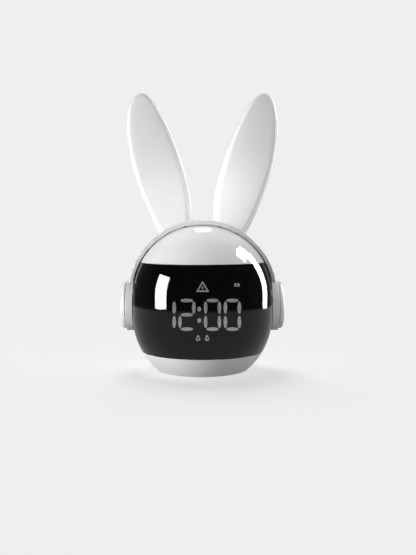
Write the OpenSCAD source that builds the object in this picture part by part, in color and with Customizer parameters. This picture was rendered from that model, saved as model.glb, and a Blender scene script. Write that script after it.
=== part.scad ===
// Kids alarm clock with night light: a round head with a smoked front, a lamp
// dome, two long ears, and headphones whose cups are push buttons.
// Millimetres, +Z up. The front faces -Y and +X is the viewer's right.
// The origin is the middle of the foot, on the table.

/* [Body] */
// Outer radius of the round head
body_r = 41.5; // [41.2:0.1:42]
// Height of the straight belt between the two round halves
belt_h = 12.5; // [12:0.1:13]
// Depth of the lower round that is cut away to leave a flat foot
foot_cut = 9.2; // [9:0.1:9.5]
// Thickness of the outer shells
wall = 2; // [1.8:0.1:2.1]
// Height of the line between the base and the front
base_seam_z = 11.5; // [11.3:0.1:11.7]
// Height of the line between the front and the lamp dome, above the belt
dome_line = 19.1; // [18.9:0.1:19.4]
// Fine line left where two outer shells meet
seam_gap = 0.15; // [0.1:0.01:0.2]
// Chamfer along those lines
seam_edge = 0.35; // [0.2:0.05:0.5]
// Height of the rubber foot ring that shows below the base
foot_h = 0.5; // [0.4:0.1:0.8]

/* [Ears] */
// Length of an ear from the headband to its tip
ear_len = 81.7; // [72:0.1:90]
// Lean of each ear away from upright, in degrees
ear_lean = 14.6; // [11:0.2:16]
// Distance of each ear's foot from the middle
ear_x = 16.4; // [15.6:0.1:17]
// Widest half width of an ear on its outer side
ear_outer_w = 15.3; // [14.4:0.1:16]
// Widest half width of an ear on its inner side
ear_inner_w = 14; // [13:0.1:14.6]
// Thickness of an ear along most of its length
ear_t = 5.2; // [4.8:0.1:6]
// Width of the slanted rim on an ear's inner side, near the headband
ear_inner_rim = 3.3; // [2.8:0.1:3.6]
// Width of the slanted rim on an ear's outer side, near the headband
ear_outer_rim = 2.6; // [2.2:0.1:3]
// Width of the slanted rim at the tip
ear_tip_rim = 1.3; // [1.1:0.1:1.8]
// Thickness of an ear's face panel
ear_face_t = 1.5; // [1.2:0.1:1.7]

/* [Headphones] */
// Thickness of the headband
band_t = 2.3; // [2:0.1:3]
// Depth of the headband from front to back
band_depth = 12; // [11:0.5:13]
// Outer radius of a cup housing
cup_r = 15; // [14.9:0.1:15.6]
// How far a cup housing stands out from the head
cup_out = 3.1; // [2.8:0.1:3.6]
// Radius of a cup cap
cap_r = 13.9; // [13.5:0.1:14]
// How far a cap stands out from its housing
cap_out = 3.1; // [2.6:0.1:3.8]
// Distance that a cap travels when it is pressed
cap_travel = 0.8; // [0.5:0.1:0.9]

/* [Display] */
// Height of a digit, between the middles of its top and bottom segments
digit_h = 15.96; // [14:0.1:17]
// Width of a digit, between the middles of its side segments
digit_w = 7.62; // [7:0.05:8]
// Width of a segment at its middle
seg_w = 1.95; // [1.5:0.05:2.1]
// Length of a segment
seg_len = 6.45; // [5.8:0.05:6.6]
// Width of the display module
display_w = 45; // [44:0.5:45.5]
// Height of the display module
display_h = 35.6; // [34.8:0.2:36]

/* [Keys and ports] */
// Radius of a key on the back
key_r = 3.2; // [2.9:0.1:3.3]
// Distance between two keys
key_pitch = 9; // [8.8:0.1:9.4]
// Height of the row of keys above the belt
key_row = 10.2; // [10:0.1:10.6]
// Distance that a key travels when it is pressed
key_travel = 0.6; // [0.3:0.1:0.7]
// Distance that the power slider travels
slider_travel = 3; // [2:0.5:3.5]

/* [Battery] */
// Width of the battery cell
cell_w = 32; // [28:1:32]
// Thickness of the battery cell
cell_t = 9.5; // [7:0.5:10]

/* [Hidden] */

$fn = 120;
far = 60;          // reaches past every surface of the head
run_gap = 0.3;     // clearance around pieces that move
fit_gap = 0.05;    // clearance between pieces that rest on each other

// the head: two round halves joined by a belt
low_z = body_r - foot_cut;
high_z = low_z + belt_h;
belt_z = (low_z + high_z)/2;
dome_seam_z = high_z + dome_line;
shell_r = body_r - wall;
base_top_z = base_seam_z - seam_gap/2;
front_low_z = base_seam_z + seam_gap/2;
front_high_z = dome_seam_z - seam_gap/2;
dome_low_z = dome_seam_z + seam_gap/2;
mask_t = 1.2;
mask_r = shell_r - 0.1;
front_in_r = mask_r - mask_t - run_gap;  // room for inner pieces behind the mask
rear_in_r = shell_r - run_gap;           // room for inner pieces behind the rear shell
deck_t = 2;
low_deck_z = base_seam_z + 0.8;
low_top_z = low_deck_z + deck_t;
high_top_z = dome_seam_z - 1.4;
high_deck_z = high_top_z - deck_t;
floor_t = 2.2;
floor_z = foot_h + floor_t;
foot_r = sqrt(body_r*body_r - pow(low_z - foot_h, 2));
ring_out_r = foot_r - 1.66;
ring_in_r = ring_out_r - 6;
ring_sink = 1.2;   // how deep the foot ring sits in the base

// screws: head radius, head height, shank radius
big = [2.2, 1.4, 1.25];
small = [1.9, 1.4, 1];
pilot_gap = 0.05;
pass_gap = 0.2;
seat_t = 2;                // plastic under a screw head
big_pilot = big[2] + pilot_gap;
big_pass = big[2] + pass_gap;
small_pilot = small[2] + pilot_gap;
small_pass = small[2] + pass_gap;
head_gap = 0.3;
base_screw_r = ring_in_r - 6;
base_post_z = floor_z + 1.8 + seat_t;    // where the base posts meet the frame's bosses
base_screw_len = 6.5;
dome_screw_r = body_r - 13.5;
dome_screw_len = 7.5;
dome_boss_r = 3;
rear_seat_y = body_r - 21.5;
rear_low_z = low_top_z + 3.9;
rear_high_z = high_deck_z - 3.8;
rear_screw_len = 10;
block = 7;                 // block behind each rear screw
block_front_y = rear_seat_y - 10;

// pillars that carry the cups
cup_z = belt_z;
pillar_x = body_r - 11.7;
pillar_y = 14.5;
cup_screw_spots = [[-7.9, cup_z + 7.9], [7.9, cup_z - 7.9]];   // y, z
cup_screw_x = pillar_x + 4.8;
cup_x = body_r + cup_out;
cap_x = cup_x + cap_out;
cup_back_x = body_r - 0.8;               // flat back of a housing's rim
cup_boss_r = 3;                          // bosses that reach from the rim to the head
cup_boss_x = pillar_x + 5;
cup_edge = 0.35;
cap_edge = 2.2;
cap_gap = 0.4;                           // left behind a cap that is pressed
cap_line_w = 0.7;                        // groove between a housing and its cap
cap_line_t = 1.6;
cup_floor_x = body_r + 1.3;
cup_floor_t = 0.4;                       // skin over the screw bores
stem_r = 2.5;
barb_r = 3.2;
barb_t = 0.5;
web_x = pillar_x + 5.35;
stem_end_x = web_x - run_gap - barb_t;
pocket = 9.2;
tact = 6;
switch_top_x = pillar_x + 3.2;
plate_t = 1.2;
plate_y = 8.7;
plate_z = 5;
plate_screw_y = 6.9;
plunger_r = 1.6;
small_len = 4.5;

// rails that carry the boards
main_w = 2*(pillar_x - 7.8);
rear_x = main_w/2 + 4;
rail_x = main_w/2 - 8;
rail_w = 5.5;
rail_mid = rail_x + rail_w/2;
rail_t = 5;
display_gap = 0.7;
display_y = display_gap - sqrt(front_in_r*front_in_r - display_w*display_w/4);
reflector_t = 6;
board_t = 1.2;
display_board_y = display_y + reflector_t + fit_gap;
front_rail_y = display_board_y + board_t + fit_gap;
display_z = belt_z - 0.75;
display_corner = 6;
display_screw_z = [display_z - 9.3, display_z + 13.2];
well_t = 2.2;
icon_t = 0.4;
first_x = -15.58;      // a one that stands alone
second_x = -8.62;
colon_x = -1.78;
third_x = 5.51;
fourth_x = 16.41;
digit_z = display_z - 1.92;
colon_dz = [3.17, -3.23];
colon_w = 1.95;
colon_h = 2.5;
seg_end_w = 0.9;
seg_clear = 0.06;
alarm_z = display_z + 13.35;
charge_x = display_w/2 - 3.3;
charge_z = display_z + 14.6;
bell_x = [-1.95, 2.4];
bell_z = display_z - 14.9;
display_screw_len = rail_t + board_t + 2.4;
ribbon_z = display_z + 9.2;
main_y = body_r - 19.1;
main_t = 1.6;
main_back_y = main_y + main_t;
main_low_z = low_top_z + 0.3;
main_high_z = high_deck_z - 0.7;
// chips: middle x, distance below the keys, width, height, thickness
chips = [[-9, 11, 7, 7, 1], [8, 10, 5, 4, 1.2], [0, 26, 3, 3, 1], [-13, 28, 4, 2.5, 1.5]];
// capacitors: middle x, distance below the keys, radius
cans = [[15, 24, 2.5], [14, 16, 2]];
main_screw_z = [main_low_z + 5.4, main_high_z - 9.8];

// keys, ports and speaker on the back
key_z = high_z + key_row;
key_cap_r = body_r + 0.7;
key_flange_r = key_r + 0.9;
key_flange_y = body_r - 8.9;
key_stem_y = key_flange_y - 3.5;
tact_h = 3.5;
panel_y = body_r - 7;
panel_w = 31;
panel_h = 6.6;
panel_z = 18;
pocket_wall = 1.5;
usb_x = -6;
usb_w = 9;
usb_h = 3.3;
usb_wall = 0.35;
power_x = 8;
power_w = 11;
power_h = 4.4;
power_top_y = panel_y - 3.6;
knob_w = 2.6;
knob_h = 2;
knob_out_y = panel_y + 1.2;
slider_slot_w = knob_w + slider_travel + 2*run_gap;
slider_slot_h = knob_h + 2*run_gap;
knob_foot_y0 = power_top_y - 2.4;      // wider foot that holds the slider in
knob_foot_y1 = power_top_y - 1.2;
knob_foot_grow = 0.6;
speaker_front_y = body_r - 4.1;
speaker_rim_t = 2.8;
speaker_ring_t = 1.5;
magnet_r = 6;
magnet_y = body_r - 12;
speaker_room_z0 = panel_z + panel_h/2 + pocket_wall + 0.4;   // the speaker fills the room
speaker_room_z1 = key_z - key_flange_r - 1.1;                // between the ports and the keys
speaker_z = (speaker_room_z0 + speaker_room_z1)/2;
speaker_r = (speaker_room_z1 - speaker_room_z0)/2 - speaker_ring_t - head_gap;
grille_hole_r = 0.9;
grille_pitch = 3.4;

// battery cell and its clamp
cell_len = main_w;
cell_z = low_top_z + fit_gap;
clamp_screw_x = cell_len/2 + 5;
clamp_t = 1.5;
clamp_w = 10;

// lamp under the dome
lamp_r = dome_screw_r - 5;
lamp_z = high_top_z + 1;
lamp_t = 1.6;
lamp_post_r = lamp_r - 4;
lamp_post = 2.6;
led = 5;
led_h = 1.6;
led_ring_r = lamp_r - 10.5;
spring_r = 3.2;
spring_wire = 0.45;
spring_turns = 7;
wire_r = 0.55;
wire_pitch = 2;        // distance between two wires, or half of it beside a switch
wire_straight = 1.2;   // straight stretch where a wire leaves a piece
cell_lead_x = 9;
lamp_lead_x = 8;
lamp_lead_y = main_y - 3.9;

// headband and ears
band_in_r = body_r + run_gap;
band_out_r = band_in_r + band_t;
ear_foot_r = band_out_r - 0.8;
ear_foot_z = high_z + sqrt(ear_foot_r*ear_foot_r - ear_x*ear_x);
ear_turn = asin(ear_x/ear_foot_r);
peg_r = 2.2;
peg_dx = 5.5;
peg_top_r = band_out_r + 2.5;
ear_screw_len = 7;
ear_rows = 26;
ear_start = -6;
ear_outer_top = 0.5*ear_len;    // where the outer side is widest
ear_inner_top = 0.28*ear_len;   // where the inner side is widest
ear_outer_drop = 4.8;           // how much narrower the outer side is at the foot
ear_inner_drop = 3.2;
ear_flare = 2.9;                // extra thickness at the foot, each side
ear_flare_h = 16;
ear_tip_h = 10;
ear_lip = 0.45;
ear_wall = 1.8;
ear_ledge = 1.3;
ear_shelf = 1;                  // rim left between the face and the headband
panel_end = ear_len - 1.2;
cavity_end = ear_len - 12;

// ---- shared shapes ----

// radius at height z of a head-shaped body of radius r
function head_r(z, r) = sqrt(r*r - pow(max(0, abs(z - belt_z) - belt_h/2), 2));

module head_profile(r) {
  intersection() {
    union() {
      translate([0, low_z]) circle(r);
      translate([0, high_z]) circle(r);
      translate([0, low_z]) square([r, belt_h]);
    }
    translate([0, low_z - r - 1]) square([r + 1, belt_h + 2*r + 2]);
  }
}

module head_solid(r) {
  rotate_extrude() head_profile(r);
}

// slice of a hollow head between two heights, chamfered at the heights in edges
module shell_profile(r_out, r_in, z0, z1, edges = []) {
  difference() {
    intersection() {
      difference() {
        head_profile(r_out);
        head_profile(r_in);
      }
      translate([0, z0]) square([r_out + 1, z1 - z0]);
    }
    for (z = edges) translate([head_r(z, r_out), z]) circle(seam_edge, $fn = 4);
  }
}

// front or rear half of a hollow head, with a fine line between the halves
module half_shell(front, r_out, r_in, z0, z1, edges = []) {
  difference() {
    rotate([0, 0, front ? 180 : 0]) rotate_extrude(angle = 180)
      shell_profile(r_out, r_in, z0, z1, edges);
    translate([-far, -seam_gap/2, z0 - 1]) cube([2*far, seam_gap, z1 - z0 + 2]);
  }
}

module rod_x(x0, x1, r, y, z) {
  translate([x0, y, z]) rotate([0, 90, 0]) cylinder(h = x1 - x0, r = r);
}

module rod_y(y0, y1, r, x, z) {
  translate([x, y0, z]) rotate([-90, 0, 0]) cylinder(h = y1 - y0, r = r);
}

module rod_z(z0, z1, r, x, y) {
  translate([x, y, z0]) cylinder(h = z1 - z0, r = r);
}

// box with its middle at x, y and its foot at z0
module block_z(x, y, w, d, z0, z1) {
  translate([x - w/2, y - d/2, z0]) cube([w, d, z1 - z0]);
}

// box with its middle at x, z, reaching from y0 to y1
module block_y(x, z, w, h, y0, y1) {
  translate([x - w/2, y0, z - h/2]) cube([w, y1 - y0, h]);
}

// plate in the XZ plane with round corners, reaching from y0 to y1
module round_plate(x, z, w, h, corner, y0, y1) {
  translate([x, y1, z]) rotate([90, 0, 0]) linear_extrude(y1 - y0) {
    square([w - 2*corner, h], center = true);
    square([w, h - 2*corner], center = true);
    for (sx = [-1, 1], sy = [-1, 1])
      translate([sx*(w/2 - corner), sy*(h/2 - corner)]) circle(corner);
  }
}

// screw whose head lies below z = 0 and whose shank points up
module screw(kind, len) {
  slot = 0.5;
  difference() {
    union() {
      translate([0, 0, -kind[1]]) cylinder(h = kind[1], r = kind[0]);
      cylinder(h = len, r = kind[2]);
    }
    block_z(0, 0, 1.3*kind[0], slot, -kind[1] - 1, -kind[1]/2);
    block_z(0, 0, slot, 1.3*kind[0], -kind[1] - 1, -kind[1]/2);
  }
}

// point at t on the smooth curve through p1 and p2, with p0 and p3 beyond them
function curve_point(p0, p1, p2, p3, t) =
  0.5*(2*p1 + (p2 - p0)*t + (2*p0 - 5*p1 + 4*p2 - p3)*t*t + (3*p1 - p0 - 3*p2 + p3)*t*t*t);

// smooth route through points that starts and ends with a straight stretch
function smooth_route(points, steps = 4) = let (last = len(points) - 1) concat(
  [points[0]],
  [for (i = [1:last - 2]) for (k = [0:steps - 1])
    curve_point(points[i - 1], points[i], points[i + 1], points[i + 2], k/steps)],
  [points[last - 1], points[last]]);

// round wire along a route; up is any direction that the route never takes
module wire(route, r, up, sides = 8) {
  last = len(route) - 1;
  rings = [for (i = [0:last]) let (
      d = route[min(i + 1, last)] - route[max(i - 1, 0)],
      across = cross(d, up)/norm(cross(d, up)),
      over = cross(across, d)/norm(d)
    ) for (k = [0:sides - 1]) let (a = 360*k/sides) route[i] + r*(cos(a)*across + sin(a)*over)];
  faces = [for (i = [0:last - 1]) for (k = [0:sides - 1]) for (half = [0, 1])
    let (a = i*sides + k, b = i*sides + (k + 1) % sides)
    half == 0 ? [a, b + sides, a + sides] : [a, b, b + sides]];
  start = [for (k = [sides - 1:-1:0]) k];
  end = [for (k = [0:sides - 1]) last*sides + k];
  polyhedron(rings, concat([start], faces, [end]));
}

// insulated wire through points
module lead(points, up = [1, 0, 0]) {
  wire(smooth_route(points), wire_r, up);
}

// the right side is drawn, and the left is its mirror image
module on_side(side) {
  if (side > 0) children();
  else mirror([1, 0, 0]) children();
}

module both_sides() {
  on_side(1) children();
  on_side(-1) children();
}

module base_screw_spots() {
  for (a = [45:90:315]) rotate([0, 0, a]) translate([base_screw_r, 0, 0]) children();
}

module dome_screw_spots() {
  for (a = [90, 210, 330]) rotate([0, 0, a]) translate([dome_screw_r, 0, 0]) children();
}

module lamp_screw_spots() {
  for (a = [30, 150, 270]) rotate([0, 0, a]) translate([lamp_post_r, 0, 0]) children();
}

// axes of the pegs that carry the ears, with z = 0 at the middle of the headband
module peg_spots() {
  both_sides() translate([0, 0, high_z]) rotate([0, ear_turn, 0])
    for (dx = [-peg_dx, peg_dx]) translate([dx, 0, 0]) children();
}

// ---- base ----

module base_shell() {
  color("white") difference() {
    union() {
      rotate_extrude() shell_profile(body_r, shell_r, foot_h, base_top_z, [base_top_z]);
      intersection() {
        head_solid(body_r - 0.5);
        translate([0, 0, foot_h]) cylinder(h = floor_t, r = body_r);
      }
      base_screw_spots() rod_z(foot_h, base_post_z, big[0] + head_gap + 1.5, 0, 0);
    }
    difference() {
      rod_z(0, foot_h + ring_sink + fit_gap, ring_out_r + fit_gap, 0, 0);
      rod_z(-1, 2*ring_sink + foot_h, ring_in_r - fit_gap, 0, 0);
    }
    base_screw_spots() {
      rod_z(-1, base_post_z - seat_t, big[0] + head_gap, 0, 0);
      rod_z(0, far, big_pass, 0, 0);
    }
  }
}

module foot_ring() {
  color("gray") difference() {
    rod_z(0, foot_h + ring_sink, ring_out_r, 0, 0);
    rod_z(-1, foot_h + ring_sink + 1, ring_in_r, 0, 0);
  }
}

module base_screws() {
  color("silver") base_screw_spots()
    translate([0, 0, base_post_z - seat_t - fit_gap]) screw(big, base_screw_len);
}

// ---- inner frame ----

module deck(z, r_front, r_rear) {
  rod_z(z, z + deck_t, r_front, 0, 0);
  intersection() {
    rod_z(z, z + deck_t, r_rear, 0, 0);
    translate([-far, 0.5, z]) cube([2*far, far, deck_t]);
  }
}

module rail(y0, y1) {
  translate([rail_x, y0, low_top_z - 0.5]) cube([rail_w, y1 - y0, high_deck_z - low_top_z + 1]);
}

module frame_solids() {
  deck(low_deck_z, head_r(low_deck_z, front_in_r), head_r(low_deck_z, rear_in_r));
  deck(high_deck_z, head_r(high_top_z, front_in_r), head_r(high_top_z, rear_in_r));
  base_screw_spots() rod_z(base_post_z + fit_gap, low_deck_z + 1, 3, 0, 0);
  lamp_screw_spots() rod_z(high_top_z - 1, lamp_z - fit_gap, lamp_post, 0, 0);
  both_sides() {
    intersection() {
      translate([pillar_x, -pillar_y, low_deck_z + 0.2])
        cube([20, 2*pillar_y, high_top_z - low_deck_z - 0.4]);
      head_solid(front_in_r);
    }
    rail(front_rail_y, front_rail_y + rail_t);
    rail(main_y - fit_gap - rail_t, main_y - fit_gap);
    intersection() {
      union() {
        translate([rear_x - block/2, block_front_y, low_top_z - 1])
          cube([block, rear_seat_y - block_front_y, rear_low_z + block/2 - low_top_z + 1]);
        translate([rear_x - block/2, block_front_y, rear_high_z - block/2])
          cube([block, rear_seat_y - block_front_y, high_deck_z + 1 - rear_high_z + block/2]);
      }
      head_solid(rear_in_r);
    }
    rod_z(low_deck_z - 1.5, low_deck_z + 1, 2.2, clamp_screw_x, 0);
  }
}

module frame_bores() {
  base_screw_spots() rod_z(0, low_top_z - 0.8, big_pilot, 0, 0);
  dome_screw_spots() rod_z(high_deck_z - 1, far + 10, big_pass, 0, 0);
  lamp_screw_spots() rod_z(lamp_z + lamp_t - small_len - 0.3, far + 10, small_pilot, 0, 0);
  both_sides() {
    translate([pillar_x - 1, -pocket/2, cup_z - pocket/2])
      cube([web_x - pillar_x + 1, pocket, pocket]);
    rod_x(pillar_x, far, stem_r + run_gap, 0, cup_z);
    for (spot = cup_screw_spots) {
      rod_x(pillar_x - 1, cup_screw_x, big[0] + head_gap, spot[0], spot[1]);
      rod_x(pillar_x, far, big_pass, spot[0], spot[1]);
    }
    for (y = [-plate_screw_y, plate_screw_y])
      rod_x(pillar_x - 1, pillar_x + small_len - 1, small_pilot, y, cup_z);
    for (z = display_screw_z)
      rod_y(front_rail_y - 1, front_rail_y + rail_t + 1, small_pass, rail_mid, z);
    for (z = main_screw_z)
      rod_y(main_back_y - small_len - 0.3, main_y, small_pilot, rail_mid, z);
    for (z = [rear_low_z, rear_high_z])
      rod_y(rear_seat_y + seat_t - rear_screw_len, rear_seat_y + 1, big_pilot, rear_x, z);
    rod_z(low_deck_z - 3, low_top_z + 1, small_pilot, clamp_screw_x, 0);
  }
  translate([-panel_w/2 - pocket_wall - run_gap, panel_y - wall - run_gap, 0])
    cube([panel_w + 2*pocket_wall + 2*run_gap, far, panel_z + panel_h]);
  rod_z(high_deck_z - 1, high_top_z + 1, 2.5, lamp_lead_x, lamp_lead_y);
}

module core_frame() {
  color("gainsboro") difference() {
    frame_solids();
    frame_bores();
  }
}

// ---- front ----

// openings in the outer shells under a cup
module cup_passages() {
  both_sides() {
    rod_x(pillar_x, far, stem_r + 2*run_gap, 0, cup_z);
    for (spot = cup_screw_spots) rod_x(pillar_x, far, big_pass, spot[0], spot[1]);
  }
}

module front_lens() {
  color([0.05, 0.05, 0.06]) difference() {
    half_shell(true, body_r, shell_r, front_low_z, front_high_z);
    cup_passages();
  }
}

module display_mask() {
  window_w = display_w - 1.4;
  window_h = display_h - 1.2;
  color([0.08, 0.08, 0.08]) difference() {
    half_shell(true, mask_r, mask_r - mask_t, base_seam_z + 1, dome_seam_z - 1);
    cup_passages();
    round_plate(0, display_z, window_w, window_h, display_corner, -far, -10);
  }
}

// ---- display ----

// pointed oval with blunt ends, drawn flat
module segment_outline(grow) {
  half_len = seg_len/2 + grow;
  half_w = seg_w/2 + grow;
  sag = (seg_w - seg_end_w)/2;
  arc_r = (seg_len*seg_len/4 + sag*sag)/(2*sag) + grow;
  intersection() {
    translate([0, half_w - arc_r]) circle(arc_r);
    translate([0, arc_r - half_w]) circle(arc_r);
    square([2*half_len, 4*half_w], center = true);
  }
}

// segments are named a to g, clockwise from the top, with g in the middle
function segment_x(s) = s == "b" || s == "c" ? digit_w/2 : s == "e" || s == "f" ? -digit_w/2 : 0;
function segment_z(s) = s == "a" ? digit_h/2 : s == "d" ? -digit_h/2
  : s == "b" || s == "f" ? digit_h/4 : s == "c" || s == "e" ? -digit_h/4 : 0;
function is_flat(s) = s == "a" || s == "g" || s == "d";

// draws the named segments of a digit with its middle at x
module segments(x, names, grow, y0, y1) {
  for (s = names) translate([x + segment_x(s), y1, digit_z + segment_z(s)]) rotate([90, 0, 0])
    linear_extrude(y1 - y0) rotate(is_flat(s) ? 0 : 90) segment_outline(grow);
}

module colon(grow, y0, y1) {
  for (dz = colon_dz) translate([colon_x, y1, digit_z + dz]) rotate([90, 0, 0])
    linear_extrude(y1 - y0) intersection() {
      circle(colon_h/2 + grow);
      square([colon_w + 2*grow, 2*colon_h], center = true);
    }
}

module display_board() {
  color("darkgreen") difference() {
    round_plate(0, display_z, display_w, display_h, display_corner,
      display_board_y, display_board_y + board_t);
    both_sides() for (z = display_screw_z) rod_y(-far, 0, small_pass, rail_mid, z);
  }
}

module display_reflector() {
  floor_y = display_y + well_t;
  color([0.1, 0.1, 0.1]) difference() {
    round_plate(0, display_z, display_w, display_h, display_corner,
      display_y, display_y + reflector_t);
    segments(first_x - digit_w/2, ["b", "c"], seg_clear, display_y - 1, floor_y);
    for (x = [second_x, third_x, fourth_x])
      segments(x, ["a", "b", "c", "d", "e", "f", "g"], seg_clear, display_y - 1, floor_y);
    colon(seg_clear, display_y - 1, floor_y);
    both_sides() for (z = display_screw_z)
      rod_y(floor_y + 0.9, far, small_pilot, rail_mid, z);
  }
}

module display_segments_lit() {
  y0 = display_y + fit_gap;
  y1 = display_y + well_t - fit_gap;
  color("white") {
    segments(first_x - digit_w/2, ["b", "c"], 0, y0, y1);
    segments(second_x, ["a", "b", "g", "e", "d"], 0, y0, y1);
    segments(third_x, ["a", "b", "c", "d", "e", "f"], 0, y0, y1);
    segments(fourth_x, ["a", "b", "c", "d", "e", "f"], 0, y0, y1);
    colon(0, y0, y1);
  }
}

module display_segments_off() {
  y0 = display_y + fit_gap;
  y1 = display_y + well_t - fit_gap;
  color("dimgray") {
    segments(second_x, ["c", "f"], 0, y0, y1);
    segments(third_x, ["g"], 0, y0, y1);
    segments(fourth_x, ["g"], 0, y0, y1);
  }
}

// raises a flat drawing off the front of the display, with its middle at x, z
module icon(x, z) {
  translate([x, display_y - fit_gap, z]) rotate([90, 0, 0]) linear_extrude(icon_t) children();
}

// triangle that stands on its base, drawn flat
module triangle(w, h) {
  polygon([[-w/2, -h/2], [w/2, -h/2], [0, h/2]]);
}

// bell with a round head and a wide mouth, drawn flat
module bell() {
  difference() {
    union() {
      polygon([[-1.25, -1.3], [1.25, -1.3], [0.7, 0.2], [0.3, 1.2], [-0.3, 1.2], [-0.7, 0.2]]);
      translate([0, 1.2]) circle(0.4);
      translate([0, -1.3]) circle(0.45);
    }
    translate([0, -0.45]) circle(0.45);
  }
}

module display_icons() {
  triangle_w = 7.5;
  triangle_h = 5.84;
  triangle_inner = 0.6;
  color("white") {
    icon(0.28, alarm_z) {
      difference() {
        triangle(triangle_w, triangle_h);
        translate([0, -0.35]) triangle(triangle_inner*triangle_w, triangle_inner*triangle_h);
      }
      translate([0, -0.8]) difference() {
        circle(0.75);
        translate([0.35, 0.2]) circle(0.6);
      }
    }
    icon(charge_x, charge_z) difference() {
      union() {
        square([3.1, 2.2], center = true);
        translate([1.55, 0]) square([0.7, 1.1], center = true);
      }
      circle(0.45);
    }
    for (x = bell_x) icon(x, bell_z) bell();
  }
}

module display_screws() {
  color("silver") both_sides() for (z = display_screw_z)
    translate([rail_mid, front_rail_y + rail_t + fit_gap, z]) rotate([90, 0, 0])
      screw(small, display_screw_len);
}

// flat cable that hangs in a shallow arc between the two boards
module display_ribbon() {
  y0 = display_board_y + board_t + fit_gap;
  y1 = main_y - fit_gap;
  ribbon_w = 12;
  ribbon_t = 0.6;
  sag = 2;
  half = (y1 - y0)/2;
  arc_r = (half*half + sag*sag)/(2*sag);
  color("peru") intersection() {
    translate([-ribbon_w/2, (y0 + y1)/2, ribbon_z + arc_r - sag]) rotate([90, 0, 90])
      linear_extrude(ribbon_w) difference() {
        circle(arc_r);
        circle(arc_r - ribbon_t);
      }
    translate([-ribbon_w, y0, ribbon_z - 10]) cube([2*ribbon_w, y1 - y0, 12]);
  }
}

// ---- rear ----

// opening with round ends, w wide and h high
module round_slot(x, z, w, h, y0, y1) {
  block_y(x, z, w - h, h, y0, y1);
  for (dx = [-(w - h)/2, (w - h)/2]) rod_y(y0, y1, h/2, x + dx, z);
}

function key_x(i) = (i - 1.5)*key_pitch;

module grille_holes() {
  for (i = [-2:2], j = [-2:2]) {
    dx = grille_pitch*(i + j/2);
    dz = grille_pitch*j*sqrt(3)/2;
    if (norm([dx, dz]) < 2.3*grille_pitch)
      rod_y(magnet_y, far, grille_hole_r, dx, speaker_z + dz);
  }
}

module rear_shell() {
  inner_r = body_r - 1;
  color("white") difference() {
    union() {
      half_shell(false, body_r, shell_r, front_low_z, front_high_z, [front_low_z, front_high_z]);
      intersection() {
        union() {
          both_sides() for (z = [rear_low_z, rear_high_z])
            rod_y(rear_seat_y + fit_gap, far, big[0] + head_gap + 1, rear_x, z);
          rod_y(speaker_front_y - speaker_rim_t - 1, far,
            speaker_r + head_gap + speaker_ring_t, 0, speaker_z);
          block_y(0, panel_z, panel_w + 2*pocket_wall, panel_h + 2*pocket_wall,
            panel_y - wall, far);
        }
        head_solid(inner_r);
      }
    }
    both_sides() for (z = [rear_low_z, rear_high_z]) {
      rod_y(rear_seat_y + seat_t + fit_gap, far, big[0] + head_gap, rear_x, z);
      rod_y(0, far, big_pass, rear_x, z);
    }
    intersection() {
      rod_y(magnet_y, far, speaker_r + 0.2, 0, speaker_z);
      head_solid(shell_r);
    }
    grille_holes();
    block_y(0, panel_z, panel_w, panel_h, panel_y, far);
    round_slot(usb_x, panel_z, usb_w + 2*run_gap, usb_h + 2*run_gap, panel_y - wall - 1, panel_y + 1);
    block_y(power_x, panel_z, slider_slot_w, slider_slot_h, panel_y - wall - 1, panel_y + 1);
    for (i = [0:3]) rod_y(magnet_y, far, key_r + run_gap, key_x(i), key_z);
    cup_passages();
  }
}

module rear_screws() {
  color("silver") both_sides() for (z = [rear_low_z, rear_high_z])
    translate([rear_x, rear_seat_y + seat_t + 2*fit_gap, z]) rotate([90, 0, 0])
      screw(big, rear_screw_len);
}

// key with a round face that follows the head and a flange that holds it in
module key(i) {
  color("white") {
    intersection() {
      rod_y(key_flange_y, far, key_r, key_x(i), key_z);
      translate([0, 0, high_z]) sphere(key_cap_r);
    }
    intersection() {
      rod_y(key_flange_y, far, key_flange_r, key_x(i), key_z);
      translate([0, 0, high_z]) sphere(rear_in_r);
    }
    rod_y(key_stem_y, key_flange_y + 1, plunger_r, key_x(i), key_z);
  }
}

module key_plunger(i) {
  color("black") rod_y(main_back_y + fit_gap + tact_h/2, key_stem_y - fit_gap, plunger_r,
    key_x(i), key_z);
}

module key_switches() {
  y0 = main_back_y + fit_gap;
  color("dimgray") difference() {
    for (i = [0:3]) block_y(key_x(i), key_z, tact, tact, y0, y0 + tact_h);
    for (i = [0:3])
      rod_y(y0 + tact_h/2 - key_travel - run_gap, far, plunger_r + run_gap, key_x(i), key_z);
  }
}

module speaker() {
  basket_y = speaker_front_y - speaker_rim_t;
  color("dimgray") difference() {
    union() {
      rod_y(basket_y, speaker_front_y, speaker_r, 0, speaker_z);
      rod_y(magnet_y + 2, basket_y + 1, magnet_r + 2.5, 0, speaker_z);
      rod_y(magnet_y, magnet_y + 3, magnet_r, 0, speaker_z);
    }
    rod_y(basket_y + 0.8, far, speaker_r - 1.3, 0, speaker_z);
  }
}

module speaker_cone() {
  rim_r = speaker_r - 1.5;
  dome_r = 4;
  depth = 1.6;
  thick = 0.5;
  y0 = speaker_front_y - speaker_rim_t + 0.8 + fit_gap;
  color("black") translate([0, y0, speaker_z]) rotate([-90, 0, 0]) rotate_extrude()
    polygon([[0, 0], [dome_r, 0], [rim_r, depth - thick], [rim_r, depth], [dome_r, thick],
      [0, thick]]);
}

module speaker_lead() {
  x = wire_r + fit_gap - speaker_r;
  color("firebrick") for (z = [speaker_z - wire_pitch, speaker_z + wire_pitch])
    lead([[x, main_back_y + 2*fit_gap, z], [x, main_back_y + wire_straight, z],
      [x + 0.5, (main_back_y + speaker_front_y)/2, z],
      [x + 0.5, speaker_front_y - speaker_rim_t - 2*fit_gap, z]]);
}

// ---- boards and ports ----

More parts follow.
